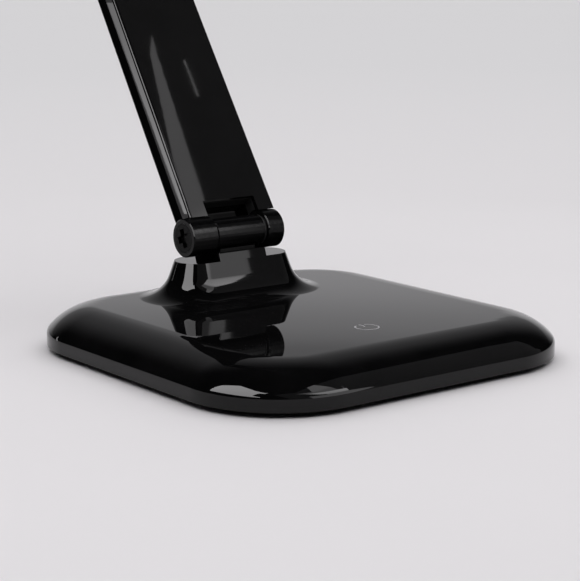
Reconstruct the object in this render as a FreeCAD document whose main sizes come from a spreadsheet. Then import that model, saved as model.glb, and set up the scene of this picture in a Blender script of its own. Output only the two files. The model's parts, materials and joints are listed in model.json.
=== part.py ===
import FreeCAD, Part
import math
import os
from types import SimpleNamespace

import Sketcher
from FreeCAD import Rotation, Vector

# Driving dimensions, in millimetres and degrees.
SIZES = {
    # Base: footprint, heights above the desk and the rolled edge
    "base_width": 170.0,
    "base_depth": 173.0,
    "base_corner": 41.0,
    "base_top": 17.6,
    "rim_top": 7.2,
    "rim_bottom": 2.0,
    "roll_width": 20.0,
    "rim_radius": 4.0,
    "shell_wall": 2.4,
    # Bottom cover, feet and the screws that close the base
    "cover_thick": 2.4,
    "cover_drop": 0.8,
    "cover_gap": 0.25,
    "foot_radius": 8.0,
    "foot_sunk": 0.8,
    "foot_inset_x": 25.0,
    "foot_inset_y": 25.5,
    "cover_boss_gap": 4.8,
    "cover_screw_y": 25.0,
    "cover_boss_radius": 4.2,
    "cover_screw_radius": 1.5,
    "cover_screw_reach": 6.0,
    "cover_head_radius": 3.0,
    "cover_head_high": 1.4,
    "screw_gap": 0.2,
    "thread_gap": 0.05,
    # Counterweight plate on four posts of the bottom cover
    "weight_width": 108.0,
    "weight_board_gap": 8.8,
    "weight_jack_gap": 3.4,
    "weight_clear": 2.0,
    "weight_corner": 8.0,
    "weight_hole_inset": 10.0,
    "weight_post_radius": 3.4,
    "weight_screw_radius": 1.2,
    "weight_screw_reach": 6.0,
    "weight_head_radius": 5.0,
    "weight_head_high": 1.6,
    # Touch control: board under the top, sensing pad against the shell
    "board_width": 44.0,
    "board_depth": 34.0,
    "board_thick": 1.6,
    "board_inset": 42.7,
    "board_clear": 1.2,
    "board_post_radius": 2.8,
    "board_post_x": 18.0,
    "board_post_y": 13.0,
    "board_screw_radius": 0.9,
    "board_screw_reach": 3.0,
    "board_head_radius": 2.2,
    "board_head_high": 1.3,
    "touch_radius": 7.0,
    "chip_side": 7.0,
    "chip_high": 1.1,
    "capacitor_radius": 2.5,
    "capacitor_high": 4.6,
    "plug_socket_long": 10.0,
    "plug_socket_deep": 6.0,
    "plug_socket_high": 4.2,
    # Power inlet in the back of the base
    "jack_lift": 0.1,
    "jack_nose_radius": 4.5,
    "jack_inset": 4.1,
    "jack_long": 13.0,
    "jack_body_width": 10.0,
    "jack_body_long": 7.0,
    "jack_bore_radius": 3.2,
    "jack_bore_deep": 9.0,
    "jack_pin_radius": 1.0,
    "jack_pin_sunk": 3.0,
    # Neck: oblong ledge, flare into the base and raised middle
    "hinge_inset": 42.1,
    "hinge_rise": 10.3,
    "neck_offset": 2.2,
    "neck_rise": 15.4,
    "neck_half_long": 27.0,
    "neck_half_deep": 9.6,
    "neck_draft": 20.0,
    "neck_flare": 14.0,
    "neck_wall": 3.2,
    "neck_roof": 5.0,
    "pedestal_gap": 0.1,
    # Hinges: knuckles, ears, washers, bolt and nut
    "knuckle_radius": 6.6,
    "knuckle_half": 12.2,
    "washer_thick": 0.8,
    "washer_radius": 6.3,
    "side_play": 0.05,
    "bush_radius": 4.0,
    "pivot_radius": 3.0,
    "run_fit": 0.05,
    "bolt_hole_gap": 0.15,
    "ear_radius": 8.1,
    "ear_bevel": 0.4,
    "ear_thick": 8.3,
    "ear_thick_left": 12.5,
    "bolt_head_radius": 6.0,
    "bolt_head_thick": 3.0,
    "cross_long": 8.0,
    "cross_wide": 3.0,
    "cross_deep": 1.6,
    "cross_turn": 11.5,
    "nut_flats": 10.0,
    "nut_thick": 3.0,
    "nut_sunk": 0.7,
    "nut_gap": 0.2,
    "spring_thick": 0.8,
    "spring_radius": 4.7,
    "cap_radius": 6.4,
    "cap_thick": 0.8,
    # Stem that carries the lower knuckle in the neck
    "stem_half": 9.0,
    "stem_front": 3.0,
    "stem_back": 4.0,
    "stem_gap": 0.1,
    "flange_edge": 3.0,
    "flange_gap": 0.9,
    "flange_thick": 3.0,
    "block_screw_gap": 3.0,
    "block_screw_radius": 1.25,
    "block_screw_reach": 3.0,
    "block_head_radius": 2.4,
    "block_head_high": 1.5,
    # Arm: lean, length between the hinge axes, tapering hollow section
    "arm_lean": 33.5,
    "arm_long": 300.0,
    "arm_width_low": 47.2,
    "arm_width_high": 42.0,
    "arm_front": 4.7,
    "arm_back_low": 5.2,
    "arm_back_high": 4.8,
    "arm_corner": 1.0,
    "arm_wall": 1.8,
    "arm_start": 4.5,
    "arm_end_gap": 8.5,
    "arm_seam": 0.9,
    "cover_step": 1.5,
    "cover_round": 1.2,
    "seam_gap": 0.1,
    "ear_gap": 0.3,
    "notch_gap": 0.1,
    "notch_top": 13.8,
    "fork_gap": 7.0,
    "fork_end": 40.0,
    "fit_gap": 0.3,
    "arm_screw_x": 10.0,
    "arm_screw_low": 28.0,
    "arm_screw_top": 26.0,
    "arm_screw_radius": 1.4,
    "arm_screw_reach": 6.0,
    "arm_head_radius": 2.8,
    "arm_head_high": 1.1,
    "lead_radius": 1.6,
    "lead_y": 0.3,
    # Upper hinge and head
    "upper_front": 2.5,
    "upper_ear_radius": 7.0,
    "upper_ear_thick": 5.9,
    "upper_ear_thick_left": 8.9,
    "upper_stem_long": 14.0,
    "upper_block_long": 24.0,
    "head_tilt": 6.0,
    "head_start": 8.5,
    "head_long": 254.0,
    "head_half_rear": 20.5,
    "head_half_tip": 18.5,
    "head_rear_corner": 4.0,
    "head_tip_corner": 12.0,
    "head_under": 5.2,
    "head_thick": 13.0,
    "head_wall": 2.0,
    "head_round": 3.5,
    "diffuser_thick": 2.0,
    "diffuser_gap": 0.15,
    "head_fork_low": 9.4,
    "head_fork_thick": 4.0,
    "head_fork_end": 42.0,
    "head_leg_gap": 0.5,
    "head_screw_x": 11.0,
    "head_screw_front": 34.0,
    "head_screw_rear": 20.0,
    "head_boss_radius": 3.0,
    "head_screw_radius": 1.2,
    "head_screw_reach": 2.4,
    "head_head_radius": 2.4,
    "head_head_high": 1.4,
    "spreader_thick": 1.0,
    "spreader_margin": 3.0,
    "led_board_thick": 1.2,
    "led_board_half": 11.0,
    "led_board_start": 50.0,
    "led_board_tip_gap": 16.5,
    "led_half_wide": 1.4,
    "led_half_long": 1.75,
    "led_high": 0.8,
    "led_row_x": 5.0,
}
LED_COUNT = 13
# How far a cutting solid reaches past what it cuts, and a joined one into what it joins.
MARGIN = 1.0
# Half the angle that one side of a hexagon spans, in degrees.
HALF_SIDE_ANGLE = 30.0

doc = FreeCAD.newDocument("desk_lamp")
sheet = doc.addObject("Spreadsheet::Sheet", "sizes")
for row, (alias, number) in enumerate(SIZES.items(), start=1):
    sheet.set("A%d" % row, alias)
    sheet.set("B%d" % row, str(number))
    sheet.setAlias("B%d" % row, alias)
doc.recompute()


class Size:
    """A length or angle: its number and the sheet formula that gives it."""

    def __init__(self, number, formula):
        self.number = number
        self.formula = formula

    def joined(self, sign, other, number):
        return Size(number, "(%s %s %s)" % (self.formula, sign, other.formula))

    def __add__(self, other):
        other = as_size(other)
        return self.joined("+", other, self.number + other.number)

    def __sub__(self, other):
        other = as_size(other)
        return self.joined("-", other, self.number - other.number)

    def __mul__(self, other):
        other = as_size(other)
        return self.joined("*", other, self.number * other.number)

    def __truediv__(self, other):
        other = as_size(other)
        return self.joined("/", other, self.number / other.number)

    def __neg__(self):
        return Size(-self.number, "(0 - %s)" % self.formula)

    def __radd__(self, other):
        return as_size(other) + self

    def __rsub__(self, other):
        return as_size(other) - self

    def __rmul__(self, other):
        return as_size(other) * self


def as_size(thing):
    """The thing itself if it is a Size, or a plain number as one."""
    return thing if isinstance(thing, Size) else Size(float(thing), repr(float(thing)))


def tangent(angle):
    """The tangent of an angle in degrees."""
    return Size(math.tan(math.radians(angle.number)), "tan(%s)" % angle.formula)


def sine(angle):
    """The sine of an angle in degrees."""
    return Size(math.sin(math.radians(angle.number)), "sin(%s)" % angle.formula)


def cosine(angle):
    """The cosine of an angle in degrees."""
    return Size(math.cos(math.radians(angle.number)), "cos(%s)" % angle.formula)


S = SimpleNamespace(**{alias: Size(number, "sizes." + alias) for alias, number in SIZES.items()})


def bind(thing, prop, size):
    """Tie a property of an object to a formula of the sheet."""
    thing.setExpression(prop, as_size(size).formula)


# Solids of simple form
TURNS = {
    "x": Rotation(Vector(0, 1, 0), 90),
    "y": Rotation(Vector(1, 0, 0), -90),
    "z": Rotation(),
}


def box(name, low, high):
    """A block between two corners, each given as x, y and z."""
    block = doc.addObject("Part::Box", name)
    for side, axis, start, end in zip(("Length", "Width", "Height"), "xyz", low, high):
        bind(block, side, end - as_size(start))
        bind(block, "Placement.Base." + axis, start)
    return block


def rod(name, radius, axis, start, end, centre=(0, 0)):
    """A round bar along an axis; centre holds the other two coordinates in order."""
    bar = doc.addObject("Part::Cylinder", name)
    bar.Placement.Rotation = TURNS[axis]
    bind(bar, "Radius", radius)
    bind(bar, "Height", end - as_size(start))
    others = [letter for letter in "xyz" if letter != axis]
    bind(bar, "Placement.Base." + axis, start)
    for letter, place in zip(others, centre):
        bind(bar, "Placement.Base." + letter, place)
    return bar


def cone(name, near, far, start, end, centre):
    """A bar along x that tapers from one radius to another."""
    taper = doc.addObject("Part::Cone", name)
    taper.Placement.Rotation = TURNS["x"]
    bind(taper, "Radius1", near)
    bind(taper, "Radius2", far)
    bind(taper, "Height", end - as_size(start))
    for letter, place in zip("xyz", (start, *centre)):
        bind(taper, "Placement.Base." + letter, place)
    return taper


def bevelled(name, radius, start, end, centre=(0, 0)):
    """The three pieces of a round bar along x with bevelled ends."""
    slim = radius - S.ear_bevel
    return [
        cone(name + "_start", slim, radius, start, start + S.ear_bevel, centre),
        rod(name + "_middle", radius, "x", start + S.ear_bevel, end - S.ear_bevel, centre),
        cone(name + "_end", radius, slim, end - S.ear_bevel, end, centre),
    ]


def hexagon(name, flats, start, end):
    """A six-sided bar along x, of a given width across its flats."""
    prism = doc.addObject("Part::Prism", name)
    prism.Polygon = 6
    prism.Placement.Rotation = TURNS["x"]
    bind(prism, "Circumradius", flats / (2 * cosine(as_size(HALF_SIDE_ANGLE))))
    bind(prism, "Height", end - as_size(start))
    bind(prism, "Placement.Base.x", start)
    return prism


def fuse(name, *pieces):
    """Several solids joined into one."""
    joined = doc.addObject("Part::MultiFuse", name)
    joined.Shapes = list(pieces)
    joined.Refine = True
    return joined


def cut(name, base, *tools):
    """A solid with other solids taken away."""
    tool = tools[0] if len(tools) == 1 else fuse(name + "_tools", *tools)
    less = doc.addObject("Part::Cut", name)
    less.Base = base
    less.Tool = tool
    return less


def common(name, one, other):
    """What two solids share."""
    shared = doc.addObject("Part::Common", name)
    shared.Base = one
    shared.Tool = other
    return shared


def group(name, pieces):
    """Separate solids kept together in one object."""
    held = doc.addObject("Part::Compound", name)
    held.Links = list(pieces)
    return held


def tube(name, outer, inner, start, end):
    """A ring or sleeve round the x axis."""
    return cut(
        name,
        rod(name + "_bar", outer, "x", start, end),
        rod(name + "_bore", inner, "x", start - MARGIN, end + MARGIN),
    )


def screw(name, shank, head, axis, tip, seat, top, centre):
    """A screw along an axis: shank from tip to seat, head from seat to top."""
    ends = sorted((tip, seat), key=lambda size: as_size(size).number)
    head_ends = sorted((seat, top), key=lambda size: as_size(size).number)
    return fuse(
        name,
        rod(name + "_shank", shank, axis, ends[0], ends[1], centre),
        rod(name + "_head", head, axis, head_ends[0], head_ends[1], centre),
    )


# Sketched bodies
def body(name):
    """An empty body."""
    return doc.addObject("PartDesign::Body", name)


def sketch(owner, name, role, height=None):
    """A sketch on one of a body's own planes, raised along the plane's normal."""
    drawn = owner.newObject("Sketcher::SketchObject", name)
    plane = next(item for item in owner.Origin.OriginFeatures if item.Role == role)
    drawn.AttachmentSupport = [(plane, "")]
    drawn.MapMode = "FlatFace"
    if height is not None:
        bind(drawn, "AttachmentOffset.Base.z", height)
    return drawn


def arc_between(start, end, radius):
    """The arc that turns left from start to end with a radius."""
    chord = end - start
    left = Vector(-chord.y, chord.x, 0)
    left.normalize()
    centre = (start + end) * 0.5 + left * math.sqrt(max(radius ** 2 - chord.Length ** 2 / 4, 0.0))
    circle = Part.Circle(centre, Vector(0, 0, 1), radius)
    return Part.ArcOfCircle(circle, circle.parameter(start), circle.parameter(end))


def outline(drawn, corners):
    """A closed outline through corners x, y; a third value is the radius of the arc that follows.

    A positive radius turns left, a negative one right. Every corner and radius is held by the sheet.
    """
    count = len(corners)
    points = [Vector(as_size(c[0]).number, as_size(c[1]).number, 0) for c in corners]
    ends = []
    for index, corner in enumerate(corners):
        start, end = points[index], points[(index + 1) % count]
        if len(corner) == 2:
            edge = drawn.addGeometry(Part.LineSegment(start, end), False)
            ends.append((edge, 1, 2))
        else:
            radius = as_size(corner[2])
            turns_left = radius.number > 0
            first, last = (start, end) if turns_left else (end, start)
            edge = drawn.addGeometry(arc_between(first, last, abs(radius.number)), False)
            ends.append((edge, 1, 2) if turns_left else (edge, 2, 1))
            held = drawn.addConstraint(Sketcher.Constraint("Radius", edge, abs(radius.number)))
            drawn.setExpression("Constraints[%d]" % held, (radius if turns_left else -radius).formula)
    for index, corner in enumerate(corners):
        edge, first, last = ends[index]
        after, after_first, after_last = ends[(index + 1) % count]
        drawn.addConstraint(Sketcher.Constraint("Coincident", edge, last, after, after_first))
        for kind, place in zip(("DistanceX", "DistanceY"), corner):
            place = as_size(place)
            held = drawn.addConstraint(Sketcher.Constraint(kind, edge, first, place.number))
            drawn.setExpression("Constraints[%d]" % held, place.formula)


def rounded(low_x, high_x, low_y, high_y, radius):
    """Corners of a rectangle with round corners, starting half-way up its right side."""
    middle = (as_size(low_y) + high_y) / 2
    return [
        (high_x, middle),
        (high_x, high_y - radius, radius),
        (high_x - radius, high_y),
        (low_x + radius, high_y, radius),
        (low_x, high_y - radius),
        (low_x, low_y + radius, radius),
        (low_x + radius, low_y),
        (high_x - radius, low_y, radius),
        (high_x, low_y + radius),
    ]


def oblong(half_long, half_deep, centre_y):
    """Corners of a rectangle with half-round ends, starting at its right end."""
    flat = half_long - half_deep
    return [
        (half_long, centre_y, half_deep),
        (flat, centre_y + half_deep),
        (-flat, centre_y + half_deep, half_deep),
        (-half_long, centre_y, half_deep),
        (-flat, centre_y - half_deep),
        (flat, centre_y - half_deep, half_deep),
    ]


def pad(owner, drawn, length):
    """A sketch raised to a solid."""
    raised = owner.newObject("PartDesign::Pad", drawn.Name + "_pad")
    raised.Profile = drawn
    bind(raised, "Length", length)
    return raised


def swept(owner, kind, profile, spine):
    """A profile carried round a closed outline, added to a body or taken from it."""
    pipe = owner.newObject("PartDesign::" + kind, profile.Name + "_pipe")
    pipe.Profile = profile
    pipe.Spine = (spine, ["Edge%d" % (index + 1) for index in range(spine.GeometryCount)])
    return pipe


def plate(name, corners, low, high):
    """A flat solid with a sketched outline between two heights."""
    owner = body(name)
    drawn = sketch(owner, name + "_outline", "XY_Plane", low)
    outline(drawn, corners)
    pad(owner, drawn, high - as_size(low))
    return owner


def lofted(name, sections):
    """A solid through outlines at several heights."""
    owner = body(name)
    drawn = []
    for index, (height, corners) in enumerate(sections):
        drawn.append(sketch(owner, "%s_section_%d" % (name, index), "XY_Plane", height))
        outline(drawn[-1], corners)
    loft = owner.newObject("PartDesign::AdditiveLoft", name + "_loft")
    loft.Profile = drawn[0]
    loft.Sections = drawn[1:]
    loft.Ruled = True
    return owner


NODES = {}


def node(name, solid, frame=None):
    """Name a finished piece and put it in the base's, the arm's or the head's frame."""
    solid.Label = name
    if frame is not None:
        origin, axis, turn = frame
        solid.Placement.Rotation = Rotation(axis, turn.number)
        bind(solid, "Placement.Rotation.Angle", turn)
        bind(solid, "Placement.Base.y", origin[0])
        bind(solid, "Placement.Base.z", origin[1])
    NODES[name] = solid
    return solid


def mirrored_places(x, y):
    """The four places at plus and minus x and y."""
    return [(x, y), (-x, y), (-x, -y), (x, -y)]


# Base
COVER_LOW = S.rim_bottom - S.cover_drop
COVER_TOP = COVER_LOW + S.cover_thick
CEILING = S.base_top - S.shell_wall
HINGE_Y = S.base_depth / 2 - S.hinge_inset
NECK_Y = HINGE_Y + S.neck_offset
LEDGE_Z = S.base_top + S.neck_rise
HINGE_Z = LEDGE_Z + S.hinge_rise
ROOF = LEDGE_Z - S.neck_roof
PEDESTAL_TOP = HINGE_Z - S.knuckle_radius - S.pedestal_gap
BOARD_Y = S.board_inset - S.base_depth / 2
BOARD_LOW = COVER_TOP + S.capacitor_high + S.board_clear
BOARD_TOP = BOARD_LOW + S.board_thick
JACK_FRONT = S.base_depth / 2 - S.jack_inset
JACK_BACK = JACK_FRONT - S.jack_long
JACK_Z = COVER_TOP + S.jack_nose_radius + S.jack_lift
WEIGHT_TOP = CEILING - S.weight_head_high - S.weight_clear
WEIGHT_FRONT = BOARD_Y + S.board_depth / 2 + S.weight_board_gap
WEIGHT_BACK = JACK_BACK - S.weight_jack_gap
BLOCK_SCREW_X = S.stem_half + S.block_screw_gap
EAR_INNER = S.knuckle_half + S.washer_thick + 2 * S.side_play


def rolled_slab(name, inset, low):
    """A slab of the base's outline; its top edge rolls over in two tangent arcs.

    The inset shrinks it evenly on the sides and the top, which makes the cavity of the shell.
    """
    half_x = S.base_width / 2 - inset
    half_y = S.base_depth / 2 - inset
    corner = S.base_corner - inset
    top = S.base_top - inset
    roll = S.roll_width - inset
    small = S.rim_radius - inset
    rise = top - S.rim_top
    flat = roll - small
    large = (flat * flat + rise * rise - small * small) / (2 * (rise - small))
    share = large / (large - small)
    joint = (half_x - roll + share * flat, top - large + share * (large - rise))
    owner = plate(name, rounded(-half_x, half_x, -half_y, half_y, corner), low, top)
    spine = sketch(owner, name + "_edge", "XY_Plane", S.rim_top)
    outline(spine, rounded(-half_x, half_x, -half_y, half_y, corner))
    profile = sketch(owner, name + "_roll", "XZ_Plane")
    outline(profile, [
        (half_x, S.rim_top, small),
        (joint[0], joint[1], large),
        (half_x - roll, top),
        (half_x - roll, top + MARGIN),
        (half_x + MARGIN, top + MARGIN),
        (half_x + MARGIN, S.rim_top),
    ])
    swept(owner, "SubtractivePipe", profile, spine)
    return owner


def neck():
    """The oblong neck: straight core and a flare that runs out into the base's top."""
    owner = plate("neck", oblong(S.neck_half_long, S.neck_half_deep, NECK_Y), CEILING, LEDGE_Z)
    spine = sketch(owner, "neck_edge", "XY_Plane", LEDGE_Z)
    outline(spine, oblong(S.neck_half_long, S.neck_half_deep, NECK_Y))
    foot = (LEDGE_Z - S.base_top) * tangent(S.neck_draft)
    reach = S.neck_flare * tangent((90 - S.neck_draft) / 2)
    edge = S.neck_half_long
    profile = sketch(owner, "neck_flank", "XZ_Plane", -NECK_Y)
    outline(profile, [
        (edge - MARGIN, CEILING),
        (edge + foot + reach, CEILING),
        (edge + foot + reach, S.base_top, -S.neck_flare),
        (edge + foot - reach * sine(S.neck_draft), S.base_top + reach * cosine(S.neck_draft)),
        (edge, LEDGE_Z),
        (edge - MARGIN, LEDGE_Z),
    ])
    swept(owner, "AdditivePipe", profile, spine)
    return owner


def rectangle(half_x, low_y, high_y):
    """Corners of a plain rectangle, even about x = 0."""
    return [(half_x, low_y), (half_x, high_y), (-half_x, high_y), (-half_x, low_y)]


def pedestal():
    """The raised middle of the neck under the centre knuckle."""
    top_deep = S.neck_half_deep - (PEDESTAL_TOP - LEDGE_Z) * tangent(S.neck_draft)
    return lofted("pedestal", [
        (LEDGE_Z, rectangle(S.knuckle_half, NECK_Y - S.neck_half_deep, NECK_Y + S.neck_half_deep)),
        (PEDESTAL_TOP, rectangle(S.knuckle_half, NECK_Y - top_deep, NECK_Y + top_deep)),
    ])


WEIGHT_HOLE_X = S.weight_width / 2 - S.weight_hole_inset
COVER_SCREWS = mirrored_places(S.weight_width / 2 + S.cover_boss_gap + S.cover_boss_radius, S.cover_screw_y)
BOARD_POSTS = [(x, BOARD_Y + y) for x, y in mirrored_places(S.board_post_x, S.board_post_y)]
WEIGHT_POSTS = [
    (x, y)
    for y in (WEIGHT_FRONT + S.weight_hole_inset, WEIGHT_BACK - S.weight_hole_inset)
    for x in (WEIGHT_HOLE_X, -WEIGHT_HOLE_X)
]
FEET = mirrored_places(S.base_width / 2 - S.foot_inset_x, S.base_depth / 2 - S.foot_inset_y)
BLOCK_SCREWS = [(BLOCK_SCREW_X, NECK_Y), (-BLOCK_SCREW_X, NECK_Y)]


def base_top_shell():
    """The moulded top with its neck, hollow underneath, with screw bosses inside."""
    skin = fuse("shell_skin", rolled_slab("shell_slab", as_size(0), S.rim_bottom), neck(), pedestal())
    slot_half = S.stem_half + S.stem_gap
    hollow = cut(
        "shell_hollow",
        skin,
        rolled_slab("shell_cavity", S.shell_wall, S.rim_bottom - MARGIN),
        plate(
            "neck_hollow",
            oblong(S.neck_half_long - S.neck_wall, S.neck_half_deep - S.neck_wall, NECK_Y),
            CEILING - MARGIN,
            ROOF,
        ),
        box(
            "stem_slot",
            (-slot_half, HINGE_Y - S.stem_front - S.stem_gap, ROOF - S.flange_thick - MARGIN),
            (slot_half, HINGE_Y + S.stem_back + S.stem_gap, PEDESTAL_TOP + MARGIN),
        ),
        rod(
            "jack_hole",
            S.jack_nose_radius + S.stem_gap,
            "y",
            JACK_BACK,
            S.base_depth / 2 + MARGIN,
            (0, JACK_Z),
        ),
    )
    pillars = [
        rod("cover_boss_%d" % index, S.cover_boss_radius, "z", COVER_TOP, S.base_top, place)
        for index, place in enumerate(COVER_SCREWS)
    ] + [
        rod("board_post_%d" % index, S.board_post_radius, "z", BOARD_TOP, S.base_top, place)
        for index, place in enumerate(BOARD_POSTS)
    ]
    bosses = common("shell_bosses", fuse("shell_pillars", *pillars),
                    rolled_slab("boss_limit", S.shell_wall / 2, S.rim_bottom))
    pilots = [
        rod("cover_pilot_%d" % index, S.cover_screw_radius + S.thread_gap, "z",
            COVER_TOP - MARGIN, COVER_TOP + S.cover_screw_reach + MARGIN, place)
        for index, place in enumerate(COVER_SCREWS)
    ] + [
        rod("board_pilot_%d" % index, S.board_screw_radius + S.thread_gap, "z",
            BOARD_TOP - MARGIN, BOARD_TOP + S.board_screw_reach + S.thread_gap, place)
        for index, place in enumerate(BOARD_POSTS)
    ] + [
        rod("block_pilot_%d" % index, S.block_screw_radius + S.thread_gap, "z",
            ROOF - MARGIN, ROOF + S.block_screw_reach + S.thread_gap, place)
        for index, place in enumerate(BLOCK_SCREWS)
    ]
    return cut("base_top_shell", fuse("shell_bossed", hollow, bosses), *pilots)


def base_bottom_cover():
    """The cover: pockets for the feet, sunk screw holes and posts for the counterweight."""
    margin = S.shell_wall + S.cover_gap
    half_x = S.base_width / 2 - margin
    half_y = S.base_depth / 2 - margin
    sheet_part = plate(
        "cover_plate",
        rounded(-half_x, half_x, -half_y, half_y, S.base_corner - margin),
        COVER_LOW,
        COVER_TOP,
    )
    post_low = COVER_LOW + S.cover_thick / 2
    post_top = WEIGHT_TOP - S.screw_gap
    posts = [
        rod("weight_post_%d" % index, S.weight_post_radius, "z", post_low, post_top, place)
        for index, place in enumerate(WEIGHT_POSTS)
    ]
    holes = [
        rod("foot_pocket_%d" % index, S.foot_radius + S.screw_gap, "z",
            COVER_LOW - MARGIN, COVER_LOW + S.foot_sunk, place)
        for index, place in enumerate(FEET)
    ]
    for index, place in enumerate(COVER_SCREWS):
        holes.append(rod("cover_hole_%d" % index, S.cover_screw_radius + S.screw_gap, "z",
                         COVER_LOW - MARGIN, COVER_TOP + MARGIN, place))
        holes.append(rod("cover_sink_%d" % index, S.cover_head_radius + S.screw_gap, "z",
                         COVER_LOW - MARGIN, COVER_LOW + S.cover_head_high, place))
    for index, place in enumerate(WEIGHT_POSTS):
        holes.append(rod("weight_pilot_%d" % index, S.weight_screw_radius + S.thread_gap, "z",
                         WEIGHT_TOP - S.weight_screw_reach - S.thread_gap,
                         post_top + MARGIN, place))
    return cut("base_bottom_cover", fuse("cover_posted", sheet_part, *posts), *holes)


def base_counterweight():
    """The steel plate that keeps the lamp from tipping."""
    half_x = S.weight_width / 2
    slab = plate(
        "weight_plate",
        rounded(-half_x, half_x, WEIGHT_FRONT, WEIGHT_BACK, S.weight_corner),
        COVER_TOP,
        WEIGHT_TOP,
    )
    holes = [
        rod("weight_hole_%d" % index, S.weight_post_radius + S.screw_gap, "z",
            COVER_TOP - MARGIN, WEIGHT_TOP + MARGIN, place)
        for index, place in enumerate(WEIGHT_POSTS)
    ]
    return cut("base_counterweight", slab, *holes)


def control_board():
    """The board of the touch switch and dimmer."""
    board = box(
        "board_sheet",
        (-S.board_width / 2, BOARD_Y - S.board_depth / 2, BOARD_LOW),
        (S.board_width / 2, BOARD_Y + S.board_depth / 2, BOARD_TOP),
    )
    holes = [
        rod("board_hole_%d" % index, S.board_screw_radius + S.screw_gap, "z",
            BOARD_LOW - MARGIN, BOARD_TOP + MARGIN, place)
        for index, place in enumerate(BOARD_POSTS)
    ]
    return cut("control_board", board, *holes)


def board_components():
    """The chip, capacitor and lead socket under the board."""
    half = S.chip_side / 2
    chip_x = -S.board_width / 5
    chip = box(
        "board_chip",
        (chip_x - half, BOARD_Y - half, BOARD_LOW - S.chip_high),
        (chip_x + half, BOARD_Y + half, BOARD_LOW),
    )
    capacitor = rod("board_capacitor", S.capacitor_radius, "z", BOARD_LOW - S.capacitor_high, BOARD_LOW,
                    (S.board_width / 5, BOARD_Y))
    socket_y = BOARD_Y + S.board_depth / 2
    socket = box(
        "board_socket",
        (-S.plug_socket_long / 2, socket_y - S.plug_socket_deep, BOARD_LOW - S.plug_socket_high),
        (S.plug_socket_long / 2, socket_y, BOARD_LOW),
    )
    return group("board_components", [chip, capacitor, socket])


def dc_jack():
    """The power inlet: round case on a square foot, socket with a centre pin."""
    case = fuse(
        "jack_case",
        rod("jack_nose", S.jack_nose_radius, "y", JACK_BACK, JACK_FRONT, (0, JACK_Z)),
        box(
            "jack_body",
            (-S.jack_body_width / 2, JACK_BACK, COVER_TOP),
            (S.jack_body_width / 2, JACK_BACK + S.jack_body_long, JACK_Z),
        ),
    )
    bore_end = JACK_FRONT - S.jack_bore_deep
    socket = cut("jack_socket", case,
                 rod("jack_bore", S.jack_bore_radius, "y", bore_end, JACK_FRONT + MARGIN, (0, JACK_Z)))
    pin = rod("jack_pin", S.jack_pin_radius, "y", bore_end - MARGIN, JACK_FRONT - S.jack_pin_sunk,
              (0, JACK_Z))
    return fuse("dc_jack", socket, pin)


def neck_hinge_block():
    """The centre knuckle on its stem, held by a flange under the neck's roof."""
    flange_half = BLOCK_SCREW_X + S.flange_edge
    flange_deep = S.neck_half_deep - S.neck_wall - S.flange_gap
    solid = fuse(
        "block_solid",
        *bevelled("block_knuckle", S.knuckle_radius, -S.knuckle_half, S.knuckle_half, (HINGE_Y, HINGE_Z)),
        box(
            "block_stem",
            (-S.stem_half, HINGE_Y - S.stem_front, ROOF - S.flange_thick),
            (S.stem_half, HINGE_Y + S.stem_back, HINGE_Z),
        ),
        box(
            "block_flange",
            (-flange_half, NECK_Y - flange_deep, ROOF - S.flange_thick),
            (flange_half, NECK_Y + flange_deep, ROOF),
        ),
    )
    holes = [
        rod("block_hole_%d" % index, S.block_screw_radius + S.screw_gap, "z",
            ROOF - S.flange_thick - MARGIN, ROOF + MARGIN, place)
        for index, place in enumerate(BLOCK_SCREWS)
    ]
    bore = rod("block_bore", S.bush_radius + S.thread_gap, "x", -S.knuckle_half - MARGIN,
               S.knuckle_half + MARGIN, (HINGE_Y, HINGE_Z))
    return cut("neck_hinge_block", solid, bore, *holes)


def screws(name, places, shank, head, tip, seat, top):
    """Screws along z at several places."""
    return group(name, [
        screw("%s_%d" % (name, index), shank, head, "z", tip, seat, top, place)
        for index, place in enumerate(places)
    ])


node("base_top_shell", base_top_shell())
node("base_bottom_cover", base_bottom_cover())
node("base_feet", group("base_feet", [
    rod("foot_%d" % index, S.foot_radius, "z", 0, COVER_LOW + S.foot_sunk, place)
    for index, place in enumerate(FEET)
]))
node("base_cover_screws", screws(
    "base_cover_screws", COVER_SCREWS, S.cover_screw_radius, S.cover_head_radius,
    COVER_TOP + S.cover_screw_reach, COVER_LOW + S.cover_head_high, COVER_LOW,
))
node("base_counterweight", base_counterweight())
node("counterweight_screws", screws(
    "counterweight_screws", WEIGHT_POSTS, S.weight_screw_radius, S.weight_head_radius,
    WEIGHT_TOP - S.weight_screw_reach, WEIGHT_TOP,
    WEIGHT_TOP + S.weight_head_high,
))
node("control_board", control_board())
node("board_components", board_components())
node("control_board_screws", screws(
    "control_board_screws", BOARD_POSTS, S.board_screw_radius, S.board_head_radius,
    BOARD_TOP + S.board_screw_reach, BOARD_LOW, BOARD_LOW - S.board_head_high,
))
node("touch_pad", rod("touch_pad", S.touch_radius, "z", BOARD_TOP, CEILING, (0, BOARD_Y)))
node("dc_jack", dc_jack())
node("neck_hinge_block", neck_hinge_block())
node("hinge_block_screws", screws(
    "hinge_block_screws", BLOCK_SCREWS, S.block_screw_radius, S.block_head_radius,
    ROOF + S.block_screw_reach, ROOF - S.flange_thick, ROOF - S.flange_thick - S.block_head_high,
))

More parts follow.
